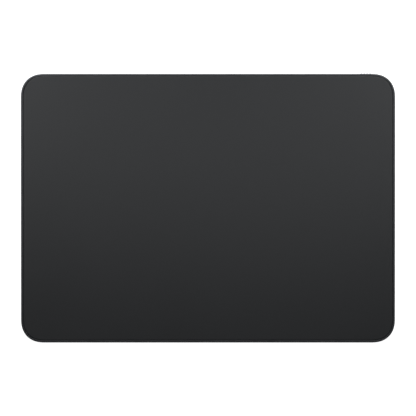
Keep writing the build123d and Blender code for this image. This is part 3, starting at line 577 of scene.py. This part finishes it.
TAPE_WIDTH = 5 * MM
finish = Finish("pouch_foil")
cell_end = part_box("battery_cell")[1].x
tape_start = cell_end - TAPE_WIDTH
tape = abs(finish.axes()[0]) > tape_start
creases = finish.noise(7 * MM, 4.0, (0.5, 1, 1))
foil = finish.blend(creases, (0.5, 0.51, 0.52), (0.68, 0.69, 0.7))
inputs = {
    "Base Color": finish.blend(tape, foil, (0.4, 0.16, 0.02)),
    "Metallic": 0.9 - tape * 0.85,
    "Roughness": 0.3 + creases * 0.12 + tape * 0.08,
    "Normal": finish.bump(creases, 0.25 * MM, 0.5),
}
pouch_foil = finish.close(inputs)
print("tape starts at x in mm:", round(tape_start / MM, 1))

# %% [markdown]
# ## Dressing the CAD pieces
# Each loaded piece keeps its mesh and only gets a material. A table from finish to pieces makes it easy
# to see that none is forgotten, and the last line counts them.

# %% Give every loaded piece its finish
corner_names = [end + "_" + side for end in ("front", "rear") for side in ("left", "right")]
dressing = {
    anodised_metal: ["enclosure"],
    etched_glass: ["cover_glass"],
    powder_paint: ["bottom_cover"],
    bond_film: ["cover_adhesive", "glass_adhesive", "battery_adhesive"],
    knob_skin: ["switch_knob"],
    green_skin: ["switch_indicator"],
    black_rubber: ["travel_stops"] + ["foot_" + corner for corner in corner_names],
    soft_gel: ["gel_pads"],
    rolled_steel: ["armature_plate", "actuator_bracket", "port_bracket"]
    + ["flexure_" + corner for corner in corner_names]
    + ["gel_carrier_" + corner for corner in corner_names],
    dark_zinc: ["flexure_screws", "actuator_screws", "board_screws", "port_screws", "switch_screws"],
    tinned_sheet: ["radio_shield", "board_antenna"],
    drawn_steel: ["port_shell"],
    gold_plate: ["port_contacts", "switch_wiper"],
    enamel_copper: ["actuator_coils"],
    core_sheets: ["actuator_core"],
    diamond_net: ["sensor_board"],
    board_lacquer: ["battery_board", "logic_board", "port_board", "switch_board"],
    chip_epoxy: ["touch_chips", "processor_chip", "charger_chip"],
    contact_comb: ["sensor_connector", "board_connectors"],
    ivory_nylon: ["switch_housing"],
    black_nylon: ["port_tongue"],
    gauge_film: ["strain_gauges"],
    ribbon_lengthwise: ["battery_flex", "sensor_flex", "actuator_flex"],
    ribbon_sideways: ["port_flex", "switch_flex"],
    pouch_foil: ["battery_cell"],
}
for material, names in dressing.items():
    for name in names:
        mesh = frame["nodes"][name].data
        mesh.materials.clear()
        mesh.materials.append(material)
dressed = [name for names in dressing.values() for name in names]
print("dressed:", len(dressed), "left over:", sorted(set(frame["nodes"]) - set(dressed)))

# %% [markdown]
# ## Rules that repeat a shape
# Ribs, turns of wire and rows of small parts repeat one shape. Geometry Nodes do that well: the shape is
# made once and instances of it are set along a line or a grid. The class below builds such a tree with
# the same short calls as the materials, and `run_rule` turns its result into a plain mesh.


# %% Geometry rules as a row of calls
class Rule(Nodes):
    """A Geometry Nodes tree with named sizes as its inputs."""

    def __init__(self, name, sizes):
        super().__init__(bpy.data.node_groups.new(name, "GeometryNodeTree"))
        self.sizes = sizes
        interface = self.tree.interface
        interface.new_socket("Geometry", in_out="INPUT", socket_type="NodeSocketGeometry")
        interface.new_socket("Geometry", in_out="OUTPUT", socket_type="NodeSocketGeometry")
        for label, value in sizes.items():
            kind = "NodeSocketInt" if isinstance(value, int) else "NodeSocketFloat"
            interface.new_socket(label, in_out="INPUT", socket_type=kind)
        self.group_input = self.tree.nodes.new("NodeGroupInput")
        self.start = Sock(self, self.group_input.outputs["Geometry"])

    def size(self, label):
        """One of the rule's named sizes."""
        return Sock(self, pick(self.group_input.outputs, label))

    def vector(self, x=0.0, y=0.0, z=0.0):
        """A vector of three values, of which any may be a socket."""
        return self.node("ShaderNodeCombineXYZ", inputs={"X": x, "Y": y, "Z": z})

    def line(self, count, start, step):
        """Points in a row: how many, where the first one is, and the step to the next."""
        inputs = {"Count": count, "Start Location": start, "Offset": step}
        return self.node("GeometryNodeMeshLine", inputs=inputs)

    def circle(self, corners, radius):
        """A round curve about the middle."""
        inputs = {"Resolution": corners, "Radius": radius}
        return self.node("GeometryNodeCurvePrimitiveCircle", inputs=inputs)

    def tube(self, curve, corners, radius):
        """A round bar that follows a curve."""
        inputs = {"Curve": curve, "Profile Curve": self.circle(corners, radius)}
        return self.node("GeometryNodeCurveToMesh", inputs=inputs)

    def on_points(self, points, instance, more=None):
        """One copy of a shape on each point, made real so that the next step can use it."""
        inputs = {"Points": points, "Instance": instance, **(more or {})}
        placed = self.node("GeometryNodeInstanceOnPoints", inputs=inputs)
        return self.node("GeometryNodeRealizeInstances", inputs={"Geometry": placed})

    def with_start(self, geometry):
        """Geometry together with the mesh that the rule starts from."""
        joined = self.node("GeometryNodeJoinGeometry", inputs={0: geometry})
        self.tree.links.new(self.start.socket, joined.socket.node.inputs[0])
        return joined

    def end(self, geometry, material):
        """Ends the rule with one material on everything."""
        real = self.node("GeometryNodeRealizeInstances", inputs={"Geometry": geometry})
        dressed = self.node("GeometryNodeSetMaterial", inputs={"Geometry": real, "Material": material})
        self.node("NodeGroupOutput", inputs={"Geometry": dressed}, out=None)


def run_rule(rule, name, start_mesh):
    """Runs a rule on a start mesh and keeps the result as a plain mesh object."""
    piece = add_to_scene(name, start_mesh)
    modifier = piece.modifiers.new(name, "NODES")
    modifier.node_group = rule.tree
    for item in rule.tree.interface.items_tree:
        if item.item_type == "SOCKET" and item.in_out == "INPUT" and item.name in rule.sizes:
            modifier[item.identifier] = rule.sizes[item.name]
    graph = bpy.context.evaluated_depsgraph_get()
    made = bpy.data.meshes.new_from_object(piece.evaluated_get(graph))
    piece.modifiers.clear()
    piece.data = made
    made.name = name
    return piece


print("rules:", Rule.__doc__)

# %% [markdown]
# ## Rubber feet
# Each foot is a moulded disc with a raised lip and round ribs inside it, which grip the table. The disc is
# a profile turned about its own axis; modelling it by hand would give the same shape with more effort.


# %% Turn a profile into a round body
def kept_mesh(shape, name, smooth=False):
    """Ends work on a shape: all its faces are set smooth or flat, and it becomes a plain mesh."""
    for face in shape.faces:
        face.smooth = smooth
    mesh = bpy.data.meshes.new(name)
    shape.to_mesh(mesh)
    shape.free()
    return mesh


def turned_body(name, profile, sides):
    """A closed round body from (radius, height) pairs that start and end on the axis."""
    shape = bmesh.new()
    angles = [2 * math.pi * i / sides for i in range(sides)]
    rings = []
    for radius, height in profile:
        if radius == 0:
            rings.append([shape.verts.new((0, 0, height))] * sides)
            continue
        rings.append([shape.verts.new((radius * math.cos(a), radius * math.sin(a), height)) for a in angles])
    for lower, upper in zip(rings, rings[1:]):
        for i in range(sides):
            j = (i + 1) % sides
            loop = [lower[i], lower[j], upper[j], upper[i]]
            shape.faces.new(list(dict.fromkeys(loop)))
    bmesh.ops.recalc_face_normals(shape, faces=shape.faces)
    mesh = kept_mesh(shape, name, smooth=True)
    mesh.set_sharp_from_angle(angle=math.radians(50))
    return mesh


foot_low, foot_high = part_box("foot_front_left")
foot_radius = (foot_high.x - foot_low.x) / 2
foot_top = foot_high.z
floor_height = 0.3 * MM
edge_rounding = 0.18 * MM
lip_width = 0.75 * MM
lip_inside = foot_radius - lip_width
lip_profile = [
    (0, floor_height),
    (lip_inside, floor_height),
    (lip_inside + 0.12 * MM, 0.1 * MM),
    (lip_inside + 0.22 * MM, 0),
    (foot_radius - edge_rounding, 0),
    (foot_radius - 0.05 * MM, 0.05 * MM),
    (foot_radius, edge_rounding),
    (foot_radius, foot_top),
    (0, foot_top),
]
disc = turned_body("foot_disc", lip_profile, 72)
print("foot radius in mm:", round(foot_radius / MM, 2), "height:", round(foot_top / MM, 2))

# %% [markdown]
# The ribs are rings that a rule sets at equal steps, and the same rule sets the finished foot at the four
# corners. Copies made by hand would do as well, but each change of a rib would have to be made in all four.

# %% Ribs in each foot, and a foot at each corner
far_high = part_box("foot_rear_right")[1]
sizes = {
    "Spread X": far_high.x - foot_low.x - 2 * foot_radius,
    "Spread Y": far_high.y - foot_low.y - 2 * foot_radius,
    "Ribs": 4,
    "Rib Pitch": 1.05 * MM,
    "Rib Radius": 0.28 * MM,
}
rule = Rule("ribbed_feet", sizes)
centres = rule.line(rule.size("Ribs"), (0, 0, 0), (0, 0, 0))
place_in_row = rule.node("GeometryNodeInputIndex") + 1
ring_size = rule.size("Rib Pitch") * place_in_row
scale = rule.vector(ring_size, ring_size, ring_size)
rings = rule.on_points(centres, rule.circle(64, 1.0), {"Scale": scale})
ribs = rule.tube(rings, 10, rule.size("Rib Radius"))
lift = rule.vector(z=rule.size("Rib Radius"))
lifted = rule.node("GeometryNodeTransform", inputs={"Geometry": ribs, "Translation": lift})
foot = rule.with_start(lifted)
spread = {"Size X": rule.size("Spread X"), "Size Y": rule.size("Spread Y")}
grid = rule.node("GeometryNodeMeshGrid", inputs={**spread, "Vertices X": 2, "Vertices Y": 2})
rule.end(rule.on_points(grid, foot), black_rubber)
feet = run_rule(rule, "ribbed_feet", disc)
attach(feet, "housing")
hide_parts(*["foot_" + corner for corner in corner_names])
print("feet faces:", len(feet.data.polygons))

# %% [markdown]
# ## Wound coils
# The magnet has three coils of enamelled wire. In the CAD model a coil is a smooth block, because wire
# has no place in a collision model. Here each coil gets its outer layer of turns: one rounded loop of
# wire, repeated along the tooth. The finished coil is then repeated at the three teeth, and turned by the
# tilt of the glass, which the axis of the press gives.

# %% Outer turns of the three coils
coil_low, coil_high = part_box("actuator_coils")
coil_middle = (coil_low + coil_high) / 2
press_axis = Vector(next(joint["axis"] for joint in frame["joints"] if joint["name"] == "touch_press"))
tilt = math.atan2(-press_axis.y, press_axis.z)
tooth_pitch = 21.0 * MM
coil_length = 7.0 * MM
coil_height = 3.1 * MM
coil_width = coil_high.x - coil_low.x - 2 * tooth_pitch
wire_radius = 0.14 * MM
least_pitch = 2.04 * wire_radius
turns = int(coil_length / least_pitch)
sizes = {
    "Turns": turns,
    "Wire Radius": wire_radius,
    "Turn Pitch": (coil_length - 2 * wire_radius) / (turns - 1),
    "Loop Width": coil_width - 2 * wire_radius,
    "Loop Height": coil_height - 2 * wire_radius,
    "Loop Rounding": 0.7 * MM,
    "Coils": 3,
    "Coil Pitch": tooth_pitch,
    "Tilt": tilt,
}
rule = Rule("wound_coils", sizes)
outline = {"Width": rule.size("Loop Width"), "Height": rule.size("Loop Height")}
loop = rule.node("GeometryNodeCurvePrimitiveQuadrilateral", inputs=outline)
rounding = {"Curve": loop, "Count": 4, "Radius": rule.size("Loop Rounding")}
loop = rule.node("GeometryNodeFilletCurve", {"mode": "POLY"}, rounding)
upright = (math.radians(90), 0, 0)
loop = rule.node("GeometryNodeTransform", inputs={"Geometry": loop, "Rotation": upright})
half_length = (rule.size("Turns") - 1) * rule.size("Turn Pitch") * 0.5
first, step = rule.vector(y=half_length * -1), rule.vector(y=rule.size("Turn Pitch"))
loops = rule.on_points(rule.line(rule.size("Turns"), first, step), loop)
wound = rule.tube(loops, 6, rule.size("Wire Radius"))
half_row = (rule.size("Coils") - 1) * rule.size("Coil Pitch") * 0.5
first, step = rule.vector(x=half_row * -1), rule.vector(x=rule.size("Coil Pitch"))
row = rule.on_points(rule.line(rule.size("Coils"), first, step), wound)
tilted = {"Geometry": row, "Translation": coil_middle, "Rotation": rule.vector(x=rule.size("Tilt"))}
rule.end(rule.with_start(rule.node("GeometryNodeTransform", inputs=tilted)), enamel_copper)
print("turns:", turns, "pitch in mm:", round(sizes["Turn Pitch"] / MM, 3))

# %% [markdown]
# One would see into the coil between two turns, so a block stands for the layers of wire below. It is a
# copy of the CAD block, with each corner moved in by the radius of the wire. A CAD mesh is loose triangles,
# so they are joined first, because the block would fall apart otherwise. Its faces stay flat: smooth ones
# would be shaded as if the block were a pebble.

# %% Layers below the outer turns
WELD = 0.001 * MM


def joined_copy(node):
    """A copy of a CAD node to work on, whose loose triangles are joined at their corners."""
    shape = bmesh.new()
    shape.from_mesh(frame["nodes"][node].data)
    bmesh.ops.remove_doubles(shape, verts=shape.verts, dist=WELD)
    return shape


block = joined_copy("actuator_coils")
block.normal_update()
for vertex, normal in [(vertex, vertex.normal.copy()) for vertex in block.verts]:
    vertex.co -= normal * wire_radius
coils = run_rule(rule, "wound_coils", kept_mesh(block, "coil_layers"))
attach(coils, "housing")
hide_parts("actuator_coils")
print("faces of the coils:", len(coils.data.polygons))

# %% [markdown]
# ## Small parts on the boards
# Between the large chips a board carries rows of ceramic capacitors the size of a grain of salt, each with
# a tinned cap at both ends. They are two boxes of different finish, so the rule is run once for the
# bodies and once for the caps. A fixed seed leaves out the same few places each time.


# %% Rows of capacitors
def boxes(name, blocks):
    """One mesh of several boxes, each given by its middle and its size, with softened edges."""
    shape = bmesh.new()
    for middle, size in blocks:
        placing = Matrix.Translation(middle) @ Matrix.Diagonal((*size, 1))
        bmesh.ops.create_cube(shape, size=1.0, matrix=placing)
    bmesh.ops.bevel(shape, geom=shape.edges[:], offset=0.03 * MM, segments=1, affect="EDGES")
    return kept_mesh(shape, name)


def capacitor_row(name, material, mesh, places, start):
    """A row of one part of the capacitors, with a few places left empty."""
    sizes = {"Places": places, "Pitch": 1.0 * MM, "Filled Share": 0.85, "Seed": 7}
    rule = Rule(name, sizes)
    line = rule.line(rule.size("Places"), start, rule.vector(x=rule.size("Pitch")))
    chance = {"Probability": rule.size("Filled Share"), "Seed": rule.size("Seed")}
    filled = rule.node("FunctionNodeRandomValue", {"data_type": "BOOLEAN"}, chance, "Value")
    rule.end(rule.on_points(line, rule.start, {"Selection": filled}), material)
    piece = run_rule(rule, name, mesh)
    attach(piece, "housing")


cap_height = 0.5 * MM
cap_size = (0.5 * MM, 0.24 * MM, cap_height)
body_size = (0.46 * MM, 0.56 * MM, cap_height - 0.04 * MM)
body_blocks = [((0, 0, cap_height / 2), body_size)]
end_blocks = [((0, side * 0.38 * MM, cap_height / 2), cap_size) for side in (-1, 1)]
main_low, main_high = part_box("logic_board")
side_low, side_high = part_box("port_board")
rows = {
    "main": (15, Vector((-31 * MM, main_low.y + 0.9 * MM, main_high.z))),
    "port": (17, Vector((-8 * MM, side_low.y + 1.4 * MM, side_high.z))),
}
for label, (places, start) in rows.items():
    bodies_mesh = boxes("capacitor_body", body_blocks)
    ends_mesh = boxes("capacitor_ends", end_blocks)
    capacitor_row(label + "_capacitor_bodies", ceramic_body, bodies_mesh, places, start)
    capacitor_row(label + "_capacitor_ends", tinned_sheet, ends_mesh, places, start)
print("capacitor rows:", list(rows))

# %% [markdown]
# ## Springs that bend
# The plate hangs on four flat steel springs. One end of each is screwed to the tray, the other carries the
# plate, and the narrow neck between them bends by a fifth of a millimetre under a press, which the small
# gauge on it measures. In the CAD model a spring is stiff, so here a copy of it is made with a few cuts
# across its neck, because a mesh can only bend where it has edges.

# %% Copies that can bend
NECK_CUTS = 8
ON_THE_CUT = 0.0001 * MM


def equal_steps(first, last, count):
    """Equal steps from first to last, with both ends."""
    return [first + (last - first) * i / count for i in range(count + 1)]


def bendable(name, node, axis=0, places=(), keep=None):
    """A joined copy of a CAD node, cut across at some places on one axis."""
    shape = joined_copy(node)
    if keep:
        away = [vertex for vertex in shape.verts if not keep(vertex.co)]
        bmesh.ops.delete(shape, geom=away, context="VERTS")
    normal = Vector([1.0 if i == axis else 0.0 for i in range(3)])
    for place in places:
        everything = shape.verts[:] + shape.edges[:] + shape.faces[:]
        plane = {"plane_co": normal * place, "plane_no": normal}
        bmesh.ops.bisect_plane(shape, geom=everything, dist=ON_THE_CUT, **plane)
    piece = add_to_scene(name, kept_mesh(shape, name))
    piece.data.materials.append(frame["nodes"][node].data.materials[0])
    return piece


def beside(corner):
    """True for a point in the quarter of the tray that a corner names."""
    end, side = corner.split("_")
    return lambda point: (point.y > 0) == (end == "rear") and (point.x > 0) == (side == "right")


neck_outer, neck_inner = 67.2 * MM, 62.8 * MM
for corner in corner_names:
    sign = 1 if corner.endswith("right") else -1
    low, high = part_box("flexure_" + corner)
    middle = (low + high) / 2
    outer, inner = sign * neck_outer, sign * neck_inner
    start, end = (outer, middle.y, middle.z), (inner, middle.y, middle.z)
    cuts = equal_steps(outer, inner, NECK_CUTS)
    spring = bendable("spring_" + corner, "flexure_" + corner, 0, cuts)
    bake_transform(spring)
    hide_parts("flexure_" + corner)
    gauge = bendable("gauge_" + corner, "strain_gauges", 0, cuts, beside(corner))
    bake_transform(gauge)
    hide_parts("strain_gauges")
print("springs and gauges:", len(corner_names), "faces of one gauge:", len(gauge.data.polygons))

# %% [markdown]
# ## The ribbon to the sensor board
# The ribbon leaves the main board, folds over and ends under the sensor board, which moves with the plate.
# It is treated like the springs, but from its lower end to its upper one, with the cuts at equal heights.
# A little at both ends stays straight, where it lies in its connector.

# %% The folded ribbon
STRAIGHT_END = 0.25 * MM
RIBBON_CUTS = 8
low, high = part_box("sensor_flex")
bottom, top = low.z + STRAIGHT_END, high.z - STRAIGHT_END
ribbon = bendable("sensor_ribbon", "sensor_flex", 2, equal_steps(bottom, top, RIBBON_CUTS))
middle = (low + high) / 2
start, end = (middle.x, middle.y, bottom), (middle.x, middle.y, top)
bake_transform(ribbon)
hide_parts("sensor_flex")
print("ribbon rises from", round(low.z / MM, 2), "to", round(high.z / MM, 2), "mm")

# %% [markdown]
# ## The gel pads
# The glass rests on four soft pads. While the magnet tugs the plate sideways, their undersides stay on the
# springs and their tops go with the glass, so the pads shear. A pad has edges at its bottom and its top
# already, and needs no cuts.

# %% Gel pads that shear
gel = bendable("gel_that_shears", "gel_pads")
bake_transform(gel)
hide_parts("gel_pads")

# %% [markdown]
